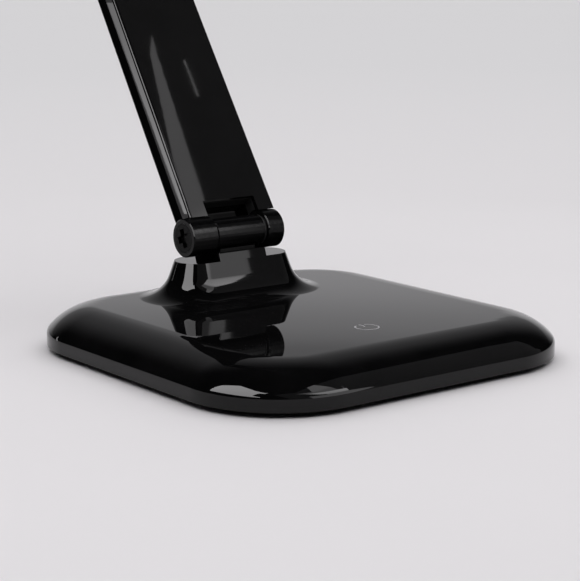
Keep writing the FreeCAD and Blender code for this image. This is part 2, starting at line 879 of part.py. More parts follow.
# Arm, drawn upright: x across, y to the back, z from the lower hinge axis to the upper one
ARM = ((HINGE_Y, HINGE_Z), Vector(-1, 0, 0), S.arm_lean)
ARM_TOP = S.arm_long - S.arm_end_gap
ARM_SCREW_HIGH = S.arm_long - S.arm_screw_top
UPPER_BLOCK_TOP = S.arm_long - S.upper_stem_long
UPPER_BLOCK_LOW = UPPER_BLOCK_TOP - S.upper_block_long
FORK_START = S.knuckle_radius + S.fork_gap
NOTCH_HALF = EAR_INNER + S.notch_gap
NUT_POCKET = S.spring_thick + S.nut_thick + S.nut_sunk
LOWER_RIGHT = EAR_INNER + S.ear_thick
LOWER_LEFT = -EAR_INNER - S.ear_thick_left
UPPER_RIGHT = EAR_INNER + S.upper_ear_thick
UPPER_LEFT = -EAR_INNER - S.upper_ear_thick_left
ARM_INNER_FRONT = S.arm_front - S.arm_wall - S.fit_gap


def along_arm(low, high, place):
    """A size that changes evenly from the arm's lower end to its upper end."""
    return low + (high - low) * ((place - S.arm_start) / (ARM_TOP - S.arm_start))


def arm_half(place):
    """Half the arm's width at a place along it."""
    return along_arm(S.arm_width_low, S.arm_width_high, as_size(place)) / 2


def arm_back(place):
    """How far the arm reaches behind the hinge axis at a place along it."""
    return along_arm(S.arm_back_low, S.arm_back_high, as_size(place))


def arm_cover_half(place):
    """Half the width of the arm's front cover at a place; the back shell slopes out from it."""
    return arm_half(place) - S.cover_step


def arm_section(place):
    """The arm's outline at a place: narrow front, slopes from the seam out to a wide back."""
    narrow = arm_cover_half(place)
    wide = arm_half(place)
    front = S.cover_round - S.arm_front
    rear = arm_back(place) - S.arm_corner
    return [
        (narrow - S.cover_round, -S.arm_front, S.cover_round),
        (narrow, front),
        (narrow, S.arm_seam),
        (wide, rear, S.arm_corner),
        (wide - S.arm_corner, arm_back(place)),
        (S.arm_corner - wide, arm_back(place), S.arm_corner),
        (-wide, rear),
        (-narrow, S.arm_seam),
        (-narrow, front, S.cover_round),
        (S.cover_round - narrow, -S.arm_front),
    ]


def arm_hollow(place):
    """The outline of the arm's hollow at a place."""
    half = arm_cover_half(place) - S.arm_wall
    return rounded(-half, half, S.arm_wall - S.arm_front, arm_back(place) - S.arm_wall, S.arm_corner / 2)


def arm_inner_back(place):
    """How far the blocks in the arm's hollow reach behind the hinge axis at a place along it."""
    return arm_back(place) - S.arm_wall - S.fit_gap


def arm_tube():
    """The whole hollow arm before it is split, open at its lower end."""
    solid = lofted("arm_outside", [
        (S.arm_start, arm_section(S.arm_start)),
        (ARM_TOP, arm_section(ARM_TOP)),
    ])
    low = S.arm_start - MARGIN
    high = ARM_TOP - S.arm_wall
    hollow = lofted("arm_inside", [
        (low, arm_hollow(low)),
        (high, arm_hollow(high)),
    ])
    saddle = rod("arm_saddle", S.ear_radius + S.ear_gap, "x", -S.arm_width_low, S.arm_width_low)
    slot = box(
        "arm_stem_slot",
        (-S.stem_half - S.stem_gap, -ARM_INNER_FRONT - S.stem_gap, high - MARGIN),
        (S.stem_half + S.stem_gap, arm_inner_back(UPPER_BLOCK_TOP) + S.stem_gap, ARM_TOP + MARGIN),
    )
    return cut("arm_tube", solid, hollow, saddle, slot)


def arm_side(name, low_y, high_y):
    """A block that holds the front or the back of the arm."""
    return box(name, (-S.arm_width_low, low_y, -S.arm_start), (S.arm_width_low, high_y, S.arm_long))


LOW_SCREWS = [(S.arm_screw_x, S.arm_screw_low), (-S.arm_screw_x, S.arm_screw_low)]
HIGH_SCREWS = [(S.arm_screw_x, ARM_SCREW_HIGH), (-S.arm_screw_x, ARM_SCREW_HIGH)]
ARM_SCREWS = LOW_SCREWS + HIGH_SCREWS


def arm_screw_rods(name, places, radius, near, far):
    """Bars at some of the arm's screws, between two depths below the back face."""
    return [
        rod("%s_%d" % (name, index), radius, "y", arm_back(place[1]) - far,
            arm_back(place[1]) - near, place)
        for index, place in enumerate(places)
    ]


def arm_screw_pilots(name, places):
    """The holes that the arm's screws bite into."""
    return arm_screw_rods(name, places, S.arm_screw_radius + S.thread_gap, 0,
                          S.arm_screw_reach + S.thread_gap)


def ears(name, radius, left, right):
    """The two round ears of a hinge fork, between their inner faces and outer faces at left and right."""
    return [
        *bevelled(name + "_ear_right", radius, EAR_INNER, right),
        *bevelled(name + "_ear_left", radius, left, -EAR_INNER),
    ]


def ear_holes(name, left, right):
    """The bolt's hole, its head's seat on the left, and the nut's pocket and cap's room on the right."""
    return [
        rod(name + "_bolt_hole", S.pivot_radius + S.bolt_hole_gap, "x", left - MARGIN, right + MARGIN),
        rod(name + "_head_seat", S.bolt_head_radius + S.bolt_hole_gap, "x", left - MARGIN,
            left + S.bolt_head_thick),
        hexagon(name + "_nut_pocket", S.nut_flats + S.nut_gap, right - NUT_POCKET, right + MARGIN),
        rod(name + "_cap_room", S.cap_radius + S.bolt_hole_gap, "x", right, right + S.cap_thick + MARGIN),
    ]


def arm_lower_fork():
    """The two ears on the block that fills the arm's lower end."""
    inner_back = arm_inner_back(S.fork_end)
    half = arm_cover_half(S.fork_end) - S.arm_wall - S.fit_gap
    reach = FORK_START + MARGIN
    solid = fuse(
        "fork_solid",
        *ears("fork", S.ear_radius, LOWER_LEFT, LOWER_RIGHT),
        box("fork_leg_right", (EAR_INNER, -ARM_INNER_FRONT, 0), (half, inner_back, reach)),
        box("fork_leg_left", (-half, -ARM_INNER_FRONT, 0), (-EAR_INNER, inner_back, reach)),
        box("fork_block", (-half, -ARM_INNER_FRONT, FORK_START), (half, inner_back, S.fork_end)),
    )
    pilots = arm_screw_pilots("fork_pilot", LOW_SCREWS)
    return cut("arm_lower_fork", solid, *ear_holes("fork", LOWER_LEFT, LOWER_RIGHT), *pilots)


def arm_upper_knuckle():
    """The centre knuckle of the upper hinge on the block that fills the arm's upper end."""
    half = arm_cover_half(UPPER_BLOCK_TOP) - S.arm_wall - S.fit_gap
    inner_back = arm_inner_back(UPPER_BLOCK_TOP)
    solid = fuse(
        "upper_solid",
        *bevelled("upper_knuckle", S.knuckle_radius, -S.knuckle_half, S.knuckle_half,
                  (-S.upper_front, S.arm_long)),
        box(
            "upper_stem",
            (-S.stem_half, -ARM_INNER_FRONT, UPPER_BLOCK_TOP),
            (S.stem_half, inner_back, S.arm_long),
        ),
        box(
            "upper_block",
            (-half, -ARM_INNER_FRONT, UPPER_BLOCK_LOW),
            (half, inner_back, UPPER_BLOCK_TOP),
        ),
    )
    bore = rod("upper_bore", S.bush_radius + S.thread_gap, "x", -S.knuckle_half - MARGIN,
               S.knuckle_half + MARGIN, (-S.upper_front, S.arm_long))
    return cut("arm_upper_knuckle", solid, bore, *arm_screw_pilots("upper_pilot", HIGH_SCREWS))


def arm_back_shell(whole):
    """The deep half of the arm, with sunk screw holes in its back."""
    half = common("arm_back_half", whole,
                  arm_side("arm_back_side", S.arm_seam + S.seam_gap / 2, S.arm_width_low))
    holes = arm_screw_rods("arm_hole", ARM_SCREWS, S.arm_screw_radius + S.screw_gap, -MARGIN,
                           S.arm_wall + MARGIN)
    sinks = arm_screw_rods("arm_sink", ARM_SCREWS, S.arm_head_radius + S.screw_gap, -MARGIN,
                           S.arm_head_high)
    return cut("arm_back_shell", half, *holes, *sinks)


def arm_front_cover(whole):
    """The shallow half of the arm; a notch lets it fold down over the neck."""
    half = common("arm_front_half", whole,
                  arm_side("arm_front_side", -S.arm_width_low, S.arm_seam - S.seam_gap / 2))
    notch = box(
        "arm_notch",
        (-NOTCH_HALF, -S.arm_front - MARGIN, S.arm_start - MARGIN),
        (NOTCH_HALF, S.arm_seam + MARGIN, S.notch_top),
    )
    return cut("arm_front_cover", half, notch)


def arm_screws():
    """The four screws that close the arm from its back."""
    return group("arm_screws", [
        screw("arm_screw_%d" % index, S.arm_screw_radius, S.arm_head_radius, "y",
              arm_back(place[1]) - S.arm_screw_reach, arm_back(place[1]) - S.arm_head_high,
              arm_back(place[1]), place)
        for index, place in enumerate(ARM_SCREWS)
    ])


ARM_WHOLE = arm_tube()
node("arm_back_shell", arm_back_shell(ARM_WHOLE), ARM)
node("arm_front_cover", arm_front_cover(ARM_WHOLE), ARM)
node("arm_lower_fork", arm_lower_fork(), ARM)
node("arm_upper_knuckle", arm_upper_knuckle(), ARM)
node("arm_screws", arm_screws(), ARM)
node("arm_lead", group("arm_lead", [
    rod("lead_run", S.lead_radius, "z", S.fork_end, UPPER_BLOCK_LOW, (0, S.lead_y)),
]), ARM)

# Hinges, drawn about the x axis
HEAD = (
    (
        HINGE_Y + S.arm_long * sine(S.arm_lean) - S.upper_front * cosine(S.arm_lean),
        HINGE_Z + S.arm_long * cosine(S.arm_lean) + S.upper_front * sine(S.arm_lean),
    ),
    Vector(1, 0, 0),
    S.head_tilt,
)


def pivot_bolt(name, left, right):
    """A hinge's bolt; its head lies in the left ear and has a cross recess."""
    seat = left + S.bolt_head_thick
    end = right - NUT_POCKET + S.spring_thick + S.nut_thick
    solid = screw(name + "_solid", S.pivot_radius, S.bolt_head_radius, "x", end, seat, left, (0, 0))
    long = S.cross_long / 2
    wide = S.cross_wide / 2
    deep = left + S.cross_deep
    cross = fuse(
        name + "_cross",
        box(name + "_slot_up", (left - MARGIN, -wide, -long), (deep, wide, long)),
        box(name + "_slot_along", (left - MARGIN, -long, -wide), (deep, long, wide)),
    )
    cross.Placement.Rotation = Rotation(Vector(1, 0, 0), S.cross_turn.number)
    bind(cross, "Placement.Rotation.Angle", S.cross_turn)
    return cut(name, solid, cross)


def pivot_nut(name, start):
    """A hinge's nut."""
    end = start + S.nut_thick
    return cut(
        name,
        hexagon(name + "_hex", S.nut_flats, start, end),
        rod(name + "_thread", S.pivot_radius + S.thread_gap, "x", start - MARGIN, end + MARGIN),
    )


def hinge_hardware(prefix, frame, left, right):
    """The bolt, nut, washers, cap and bush of one hinge, whose ears end at left and right."""
    seat = right - NUT_POCKET
    bore = S.pivot_radius + S.run_fit
    inner = S.knuckle_half + S.side_play
    washers = prefix + "_friction_washers"
    cap = prefix + "_pivot_cap"
    node(prefix + "_pivot_bolt", pivot_bolt(prefix + "_pivot_bolt", left, right), frame)
    node(prefix + "_pivot_nut", pivot_nut(prefix + "_pivot_nut", seat + S.spring_thick), frame)
    node(prefix + "_spring_washer",
         tube(prefix + "_spring_washer", S.spring_radius, bore, seat, seat + S.spring_thick), frame)
    node(washers, group(washers, [
        tube(washers + "_right", S.washer_radius, bore, inner, inner + S.washer_thick),
        tube(washers + "_left", S.washer_radius, bore, -inner - S.washer_thick, -inner),
    ]), frame)
    node(cap, group(cap, [
        cone(cap + "_disc", S.cap_radius, S.cap_radius - S.cap_thick, right, right + S.cap_thick, (0, 0)),
    ]), frame)
    node(prefix + "_pivot_bush",
         tube(prefix + "_pivot_bush", S.bush_radius, bore, -S.knuckle_half, S.knuckle_half), frame)


hinge_hardware("lower", ARM, LOWER_LEFT, LOWER_RIGHT)
hinge_hardware("upper", HEAD, UPPER_LEFT, UPPER_RIGHT)

# Head, drawn level: x across, y to the back, z up, from the upper hinge axis
FORK_TOP = S.head_fork_low + S.head_fork_thick
HEAD_TOP = S.head_under + S.head_thick
HEAD_CEILING = HEAD_TOP - S.head_wall
HEAD_SCREWS = [
    (S.head_screw_x, -S.head_screw_rear),
    (-S.head_screw_x, -S.head_screw_rear),
    (-S.head_screw_x, -S.head_screw_front),
    (S.head_screw_x, -S.head_screw_front),
]
SPREADER_LOW = HEAD_CEILING - S.spreader_thick
LED_BOARD_LOW = SPREADER_LOW - S.led_board_thick
LED_BOARD_LONG = S.head_start + S.head_long - S.led_board_tip_gap - S.led_board_start
SIDE_START = S.head_start + S.head_rear_corner
SIDE_LONG = S.head_long - S.head_rear_corner - S.head_tip_corner
HEAD_TAPER = (S.head_half_tip - S.head_half_rear) * ((S.head_fork_end - SIDE_START) / SIDE_LONG)
FORK_HALF = S.head_half_rear + HEAD_TAPER - S.head_wall - S.fit_gap


def head_outline(inset):
    """The head's tapering outline from above, shrunk by an inset."""
    rear = S.head_half_rear - inset
    tip = S.head_half_tip - inset
    start = -S.head_start - inset
    end = inset - S.head_start - S.head_long
    rear_corner = S.head_rear_corner - inset
    tip_corner = S.head_tip_corner - inset
    return [
        (rear, start - rear_corner, rear_corner),
        (rear - rear_corner, start),
        (rear_corner - rear, start, rear_corner),
        (-rear, start - rear_corner),
        (-tip, end + tip_corner, tip_corner),
        (tip_corner - tip, end),
        (tip - tip_corner, end, tip_corner),
        (tip, end + tip_corner),
    ]


def head_solid():
    """The head's outside, with its upper edge rounded over."""
    owner = plate("housing_solid", head_outline(as_size(0)), S.head_under, HEAD_TOP)
    doc.recompute()
    raised = owner.Tip
    level = raised.Shape.BoundBox.ZMax
    rim = [
        "Edge%d" % (index + 1)
        for index, edge in enumerate(raised.Shape.Edges)
        if all(math.isclose(corner.Z, level) for corner in edge.Vertexes)
    ]
    rounding = owner.newObject("PartDesign::Fillet", "housing_round")
    rounding.Base = (raised, rim)
    bind(rounding, "Radius", S.head_round)
    return owner


def head_housing():
    """The moulded housing, open below, with bosses for the fork's screws."""
    hollow = cut(
        "housing_hollow",
        head_solid(),
        plate("housing_cavity", head_outline(S.head_wall), S.head_under - MARGIN, HEAD_CEILING),
        box(
            "housing_slot",
            (-FORK_HALF - S.fit_gap, -S.head_start - S.head_wall - MARGIN, S.head_fork_low - S.fit_gap),
            (FORK_HALF + S.fit_gap, -S.head_start + MARGIN, FORK_TOP + S.fit_gap),
        ),
    )
    bosses = [
        rod("head_boss_%d" % index, S.head_boss_radius, "z", FORK_TOP, HEAD_TOP - S.head_wall / 2, place)
        for index, place in enumerate(HEAD_SCREWS)
    ]
    pilots = [
        rod("head_pilot_%d" % index, S.head_screw_radius + S.thread_gap, "z", FORK_TOP - MARGIN,
            FORK_TOP + S.head_screw_reach + S.thread_gap, place)
        for index, place in enumerate(HEAD_SCREWS)
    ]
    return cut("head_housing", fuse("housing_bossed", hollow, *bosses), *pilots)


def head_fork():
    """The two ears of the head and the plate that carries its housing."""
    front = S.head_leg_gap - S.head_start
    solid = fuse(
        "head_fork_solid",
        *ears("head_fork", S.upper_ear_radius, UPPER_LEFT, UPPER_RIGHT),
        box("head_leg_right", (EAR_INNER, front, 0), (FORK_HALF, 0, FORK_TOP)),
        box("head_leg_left", (-FORK_HALF, front, 0), (-EAR_INNER, 0, FORK_TOP)),
        box(
            "head_plate",
            (-FORK_HALF, -S.head_fork_end, S.head_fork_low),
            (FORK_HALF, front + MARGIN, FORK_TOP),
        ),
    )
    holes = [
        rod("head_hole_%d" % index, S.head_screw_radius + S.screw_gap, "z", S.head_fork_low - MARGIN,
            FORK_TOP + MARGIN, place)
        for index, place in enumerate(HEAD_SCREWS)
    ]
    return cut("head_fork", solid, *ear_holes("head_fork", UPPER_LEFT, UPPER_RIGHT), *holes)


def led_place(index):
    """How far along the head a light sits."""
    return -S.led_board_start - LED_BOARD_LONG * ((index + 1) / (LED_COUNT + 1))


def leds():
    """Two rows of lights under their board."""
    return group("leds", [
        box(
            "led_%d_%d" % (row, index),
            (side * S.led_row_x - S.led_half_wide, led_place(index) - S.led_half_long,
             LED_BOARD_LOW - S.led_high),
            (side * S.led_row_x + S.led_half_wide, led_place(index) + S.led_half_long, LED_BOARD_LOW),
        )
        for row, side in enumerate((1, -1))
        for index in range(LED_COUNT)
    ])


def strip(name, grown, low, high):
    """A flat strip under the housing's roof, grown past the light board's edges."""
    half = S.led_board_half + grown
    return group(name, [box(
        name + "_strip",
        (-half, -S.led_board_start - LED_BOARD_LONG - grown, low),
        (half, grown - S.led_board_start, high),
    )])


node("head_fork", head_fork(), HEAD)
node("head_housing", head_housing(), HEAD)
node("head_diffuser", group("head_diffuser", [
    plate("diffuser_plate", head_outline(S.head_wall + S.diffuser_gap), S.head_under,
          S.head_under + S.diffuser_thick),
]), HEAD)
node("head_heat_spreader", strip("head_heat_spreader", S.spreader_margin, SPREADER_LOW, HEAD_CEILING), HEAD)
node("led_board", strip("led_board", as_size(0), LED_BOARD_LOW, SPREADER_LOW), HEAD)
node("leds", leds(), HEAD)
node("head_screws", screws(
    "head_screws", HEAD_SCREWS, S.head_screw_radius, S.head_head_radius,
    FORK_TOP + S.head_screw_reach, S.head_fork_low, S.head_fork_low - S.head_head_high,
), HEAD)

doc.recompute()
for thing in doc.Objects:
    if "Invalid" in thing.State or "Error" in thing.State:
        raise RuntimeError("%s did not build" % thing.Label)
for name, piece in NODES.items():
    if piece.Shape.isNull() or not piece.Shape.isValid():
        raise RuntimeError("%s is not a sound solid" % name)

os.makedirs("parts", exist_ok=True)
for name, piece in NODES.items():
    piece.Shape.exportStep("parts/%s.step" % name)
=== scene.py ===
import json
import math

import bpy
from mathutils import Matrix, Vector
from mathutils.geometry import delaunay_2d_cdt


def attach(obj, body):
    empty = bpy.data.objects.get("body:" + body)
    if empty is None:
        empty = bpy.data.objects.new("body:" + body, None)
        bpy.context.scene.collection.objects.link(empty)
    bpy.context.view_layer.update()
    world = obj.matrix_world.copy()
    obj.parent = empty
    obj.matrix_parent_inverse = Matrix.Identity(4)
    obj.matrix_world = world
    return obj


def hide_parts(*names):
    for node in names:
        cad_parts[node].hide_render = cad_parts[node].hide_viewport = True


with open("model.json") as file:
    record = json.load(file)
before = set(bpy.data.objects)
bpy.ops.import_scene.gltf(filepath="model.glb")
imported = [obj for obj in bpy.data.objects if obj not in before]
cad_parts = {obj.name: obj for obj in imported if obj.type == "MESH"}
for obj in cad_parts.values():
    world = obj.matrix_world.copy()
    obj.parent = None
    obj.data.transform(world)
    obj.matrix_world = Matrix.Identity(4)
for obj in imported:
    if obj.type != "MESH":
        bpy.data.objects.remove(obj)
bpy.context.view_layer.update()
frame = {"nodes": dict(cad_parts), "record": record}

MM = 0.001
UP = Vector((0, 0, 1))


# Camera: fitted to the photograph's view of the base. Pixels count from the upper left.

IMAGE = (580, 581)
FOCUS = 1725.0
TARGET = Vector((0, 0, 20)) * MM
TARGET_PIXEL = (297.68, 302.77)
AZIMUTH = math.radians(-37.93)
ELEVATION = math.radians(11.845)
DISTANCE = 703.7 * MM
SENSOR = 36.0
CLIP = (0.01, 100.0)
BACK = Vector((
    math.sin(AZIMUTH) * math.cos(ELEVATION),
    -math.cos(AZIMUTH) * math.cos(ELEVATION),
    math.sin(ELEVATION),
))


def add_camera():
    data = bpy.data.cameras.new("camera")
    data.sensor_fit = "VERTICAL"
    data.sensor_height = SENSOR
    data.lens = FOCUS * data.sensor_height / IMAGE[1]
    data.shift_x = (IMAGE[0] / 2 - TARGET_PIXEL[0]) / IMAGE[1]
    data.shift_y = (TARGET_PIXEL[1] - IMAGE[1] / 2) / IMAGE[1]
    data.clip_start, data.clip_end = CLIP
    camera = bpy.data.objects.new("camera", data)
    bpy.context.scene.collection.objects.link(camera)
    camera.location = TARGET + BACK * DISTANCE
    camera.rotation_euler = BACK.to_track_quat("Z", "Y").to_euler()
    bpy.context.scene.camera = camera


add_camera()


# Materials: each has fine variation of colour, gloss and surface from its nodes.

NOISE_LOW, NOISE_HIGH = 0.3, 0.7
SHADE_LOW, SHADE_HIGH = 0.35, 0.65


def fill_ramp(ramp, stops):
    """Sets a colour ramp's stops, each a position and a colour."""
    points = ramp.color_ramp.elements
    while len(points) < len(stops):
        points.new(0.5)
    for point, (position, colour) in zip(points, stops):
        point.position = position
        point.color = (*colour, 1.0)


def tinted(light, tint):
    return tuple(light * part for part in tint)


class Nodes:
    """Short ways to add shader nodes to one material."""

    def __init__(self, name):
        self.material = bpy.data.materials.new(name)
        self.material.use_nodes = True
        self.tree = self.material.node_tree
        self.shader = self.tree.nodes["Principled BSDF"]
        self.place = self.add("ShaderNodeTexCoord").outputs["Object"]

    def add(self, kind, **settings):
        node = self.tree.nodes.new(kind)
        for key, value in settings.items():
            setattr(node, key, value)
        return node

    def link(self, start, end):
        self.tree.links.new(start, end)

    def joined(self, kind, operation, *values):
        """A Math or Vector Math node fed with sockets and plain values."""
        node = self.add(kind, operation=operation)
        for socket, value in zip(node.inputs, values):
            if isinstance(value, bpy.types.NodeSocket):
                self.link(value, socket)
            else:
                socket.default_value = value
        return node

    def number(self, operation, *values):
        return self.joined("ShaderNodeMath", operation, *values).outputs["Value"]

    def vector(self, operation, *values):
        return self.joined("ShaderNodeVectorMath", operation, *values).outputs["Vector"]

    def length(self, vector):
        return self.joined("ShaderNodeVectorMath", "LENGTH", vector).outputs["Value"]

    def rescaled(self, fac, from_low, from_high, to_low, to_high):
        scale = self.add("ShaderNodeMapRange")
        scale.inputs["From Min"].default_value = from_low
        scale.inputs["From Max"].default_value = from_high
        scale.inputs["To Min"].default_value = to_low
        scale.inputs["To Max"].default_value = to_high
        self.link(fac, scale.inputs["Value"])
        return scale.outputs["Result"]

    def stretched(self, scale):
        mapping = self.add("ShaderNodeMapping")
        mapping.inputs["Scale"].default_value = scale
        self.link(self.place, mapping.inputs["Vector"])
        return mapping.outputs["Vector"]

    def noise(self, scale, detail, place=None):
        """A noise of a given number of cells to the metre."""
        noise = self.add("ShaderNodeTexNoise")
        noise.inputs["Scale"].default_value = scale
        noise.inputs["Detail"].default_value = detail
        self.link(place or self.place, noise.inputs["Vector"])
        return noise.outputs["Fac"]

    def colour(self, fac, *stops):
        ramp = self.add("ShaderNodeValToRGB")
        fill_ramp(ramp, stops)
        self.link(fac, ramp.inputs["Fac"])
        self.link(ramp.outputs["Color"], self.shader.inputs["Base Color"])

    def shades(self, fac, dark, light):
        self.colour(fac, (SHADE_LOW, dark), (SHADE_HIGH, light))

    def roughness(self, fac, low, high):
        rough = self.rescaled(fac, NOISE_LOW, NOISE_HIGH, low, high)
        self.link(rough, self.shader.inputs["Roughness"])
        return rough

    def bump(self, fac, strength, height):
        bump = self.add("ShaderNodeBump")
        bump.inputs["Strength"].default_value = strength
        bump.inputs["Distance"].default_value = height
        self.link(fac, bump.inputs["Height"])
        self.link(bump.outputs["Normal"], self.shader.inputs["Normal"])

    def settings(self, **values):
        for key, value in values.items():
            self.shader.inputs[key].default_value = value


GLOSS_INDEX = 1.34
SATIN_INDEX = 1.22
STEEL_INDEX = 1.14
SATIN_SPREAD = 0.05


def gloss_black():
    make = Nodes("gloss_black")
    make.shades(make.noise(55, 4), dark=(0.0022, 0.0022, 0.0024), light=(0.0040, 0.0039, 0.0042))
    make.roughness(make.noise(38, 3), low=0.012, high=0.03)
    make.bump(make.noise(160, 1), strength=0.006, height=0.0002)
    make.settings(IOR=GLOSS_INDEX)
    return make.material


def satin(name, tone, rough, grain, index=GLOSS_INDEX):
    """Fine-grained satin black, cast and coated or moulded; gives its nodes and its roughness."""
    make = Nodes(name)
    make.shades(make.noise(grain / 3, 4), dark=tinted(0.75, tone), light=tinted(1.25, tone))
    fine = make.roughness(make.noise(grain / 2, 3), rough - SATIN_SPREAD, rough + SATIN_SPREAD)
    make.bump(make.noise(grain, 2), strength=0.12, height=0.00006)
    make.settings(IOR=index)
    return make, fine


def satin_black(*recipe):
    make, _ = satin(*recipe)
    return make.material


def metal(name, dark, light, rough, stretch):
    """Metal with fine lines along one direction."""
    make = Nodes(name)
    lines = make.stretched(stretch)
    make.shades(make.noise(900, 4, lines), dark, light)
    make.roughness(make.noise(700, 3, lines), rough - 0.06, rough + 0.08)
    make.bump(make.noise(1400, 2, lines), strength=0.08, height=0.00003)
    make.settings(Metallic=1.0)
    return make.material


def rubber(name, tone, grain):
    make = Nodes(name)
    make.shades(make.noise(grain / 5, 4), dark=tinted(0.7, tone), light=tone)
    make.roughness(make.noise(grain / 4, 2), low=0.75, high=0.92)
    make.bump(make.noise(grain, 3), strength=0.35, height=0.0002)
    return make.material


def circuit_board(name, mask, copper):
    """Solder mask with tracks that show through as a net of a slightly different tone."""
    make = Nodes(name)
    tracks = make.add("ShaderNodeTexBrick")
    tracks.inputs["Scale"].default_value = 160
    tracks.inputs["Mortar Size"].default_value = 0.012
    make.link(make.place, tracks.inputs["Vector"])
    make.colour(tracks.outputs["Fac"], (0.0, mask), (1.0, copper))
    make.roughness(make.noise(300, 2), low=0.3, high=0.42)
    make.bump(tracks.outputs["Fac"], strength=0.15, height=0.00004)
    return make.material


def opal():
    make = Nodes("opal")
    make.shades(make.noise(90, 3), dark=(0.80, 0.80, 0.78), light=(0.86, 0.86, 0.84))
    make.roughness(make.noise(500, 2), low=0.38, high=0.5)
    make.bump(make.noise(2500, 2), strength=0.05, height=0.00005)
    make.settings(**{"Subsurface Weight": 0.25, "Subsurface Radius": (0.003, 0.003, 0.003)})
    return make.material


def diode():
    make = Nodes("led_yellow")
    make.shades(make.noise(1500, 2), dark=(0.80, 0.62, 0.16), light=(0.88, 0.74, 0.26))
    make.roughness(make.noise(900, 2), low=0.25, high=0.38)
    return make.material


def print_grey():
    make = Nodes("print_grey")
    make.shades(make.noise(3000, 3), dark=(0.30, 0.29, 0.31), light=(0.42, 0.41, 0.43))
    make.roughness(make.noise(1500, 2), low=0.4, high=0.55)
    return make.material


# Tone, roughness, cells of grain to the metre and index of the hinges' castings.
HINGE = ((0.003, 0.003, 0.0033), 0.13, 1500, SATIN_INDEX)

FINISH = {
    "gloss_black": gloss_black(),
    "matt_black": satin_black("matt_black", (0.012, 0.012, 0.0125), 0.55, 2600),
    "satin_plastic": satin_black("satin_plastic", (0.003, 0.003, 0.0032), 0.34, 1800, SATIN_INDEX),
    "satin_hinge": satin_black("satin_hinge", *HINGE),
    "black_steel": satin_black("black_steel", (0.004, 0.004, 0.0042), 0.30, 1700, STEEL_INDEX),
    "steel": metal("steel", (0.40, 0.40, 0.41), (0.60, 0.60, 0.61), 0.3, (1, 1, 6)),
    "foot_rubber": rubber("foot_rubber", (0.022, 0.022, 0.022), 2200),
    "foam_pad": rubber("foam_pad", (0.07, 0.07, 0.07), 1400),
    "board": circuit_board("board", (0.016, 0.10, 0.04), (0.03, 0.17, 0.07)),
    "led_board_white": circuit_board("led_board_white", (0.78, 0.78, 0.76), (0.70, 0.70, 0.67)),
    "led_yellow": diode(),
    "opal": opal(),
    "bare_aluminium": metal(
        "bare_aluminium", (0.62, 0.62, 0.63), (0.78, 0.78, 0.79), 0.32, (1, 8, 1)),
    "bush_brass": metal("bush_brass", (0.52, 0.37, 0.13), (0.66, 0.49, 0.20), 0.26, (8, 1, 1)),
    "washer_nylon": satin_black("washer_nylon", (0.03, 0.03, 0.03), 0.5, 1200),
}

# The lower hinge's castings turn dull just outside the barrel. Metres, as in the frame.
BARREL_AXIS = (0, 0.0444, 0.0433)
BARREL_RADIUS = 0.0081
ACROSS_AXIS = (0, 1, 1)
DULL_FROM = BARREL_RADIUS + 0.0002
DULL_TO = BARREL_RADIUS + 0.0008
DULL_ROUGH = 0.75


def barrel_black():
    """The hinges' satin black, rougher beyond the barrel around an axis along X."""
    make, fine = satin("lower_hinge", *HINGE)
    offset = make.vector("SUBTRACT", make.place, BARREL_AXIS)
    far = make.length(make.vector("MULTIPLY", offset, ACROSS_AXIS))
    dull = make.rescaled(far, DULL_FROM, DULL_TO, 0.0, DULL_ROUGH)
    make.link(make.number("ADD", fine, dull), make.shader.inputs["Roughness"])
    return make.material


LOWER_HINGE = barrel_black()
NODE_FINISH = {"arm_lower_fork": LOWER_HINGE, "neck_hinge_block": LOWER_HINGE}
SHARP = math.radians(28)
EVEN_WEIGHT = 90


def dress_nodes():
    """Gives every carried-over part its finish and smooth rounded faces."""
    for part in frame["record"]["subparts"]:
        node = frame["nodes"][part["node"]]
        node.data.materials.clear()
        node.data.materials.append(NODE_FINISH.get(part["node"], FINISH[part["material_slot"]]))
        node.data.shade_smooth()
        node.data.set_sharp_from_angle(angle=SHARP)
        even = node.modifiers.new("even_normals", "WEIGHTED_NORMAL")
        even.keep_sharp = True
        even.weight = EVEN_WEIGHT


dress_nodes()


# Base top: the shell built anew as a finer mesh, with exact normals for its reflections.
# Its sizes, in millimetres, are the solid's, apart from the slightly lower RIM_TOP.


class Surface:
    """A mesh under construction: points in millimetres, and a normal for every face corner."""

    def __init__(self):
        self.points = []
        self.faces = []
        self.normals = []

    def point(self, place):
        self.points.append(Vector(place) * MM)
        return len(self.points) - 1

    def face(self, corners, normals=None):
        """Adds a face; without normals it is flat."""
        if normals is None:
            first, second, third = (self.points[corner] for corner in corners[:3])
            flat = (second - first).cross(third - second).normalized()
            normals = [flat] * len(corners)
        self.faces.append(corners)
        self.normals.extend(normals)

    def triangle(self, corners, normals):
        """Adds a triangle, turned to the side that its normals point to."""
        first, second, third = (self.points[corner] for corner in corners)
        if (second - first).cross(third - second).dot(sum(normals, Vector())) < 0:
            corners, normals = corners[::-1], normals[::-1]
        self.face(corners, normals)

    def strip(self, first, second, first_normals=None, second_normals=None):
        """Joins two closed rings of as many points."""
        count = len(first)
        for here in range(count):
            there = (here + 1) % count
            corners = (first[here], first[there], second[there], second[here])
            if first_normals is None:
                self.face(corners)
            else:
                self.face(corners, [first_normals[here], first_normals[there],
                                    second_normals[there], second_normals[here]])

    def build(self, name, material):
        mesh = bpy.data.meshes.new(name)
        mesh.from_pydata(self.points, [], self.faces)
        mesh.shade_smooth()
        mesh.normals_split_custom_set(self.normals)
        mesh.materials.append(material)
        piece = bpy.data.objects.new(name, mesh)
        bpy.context.scene.collection.objects.link(piece)
        return piece


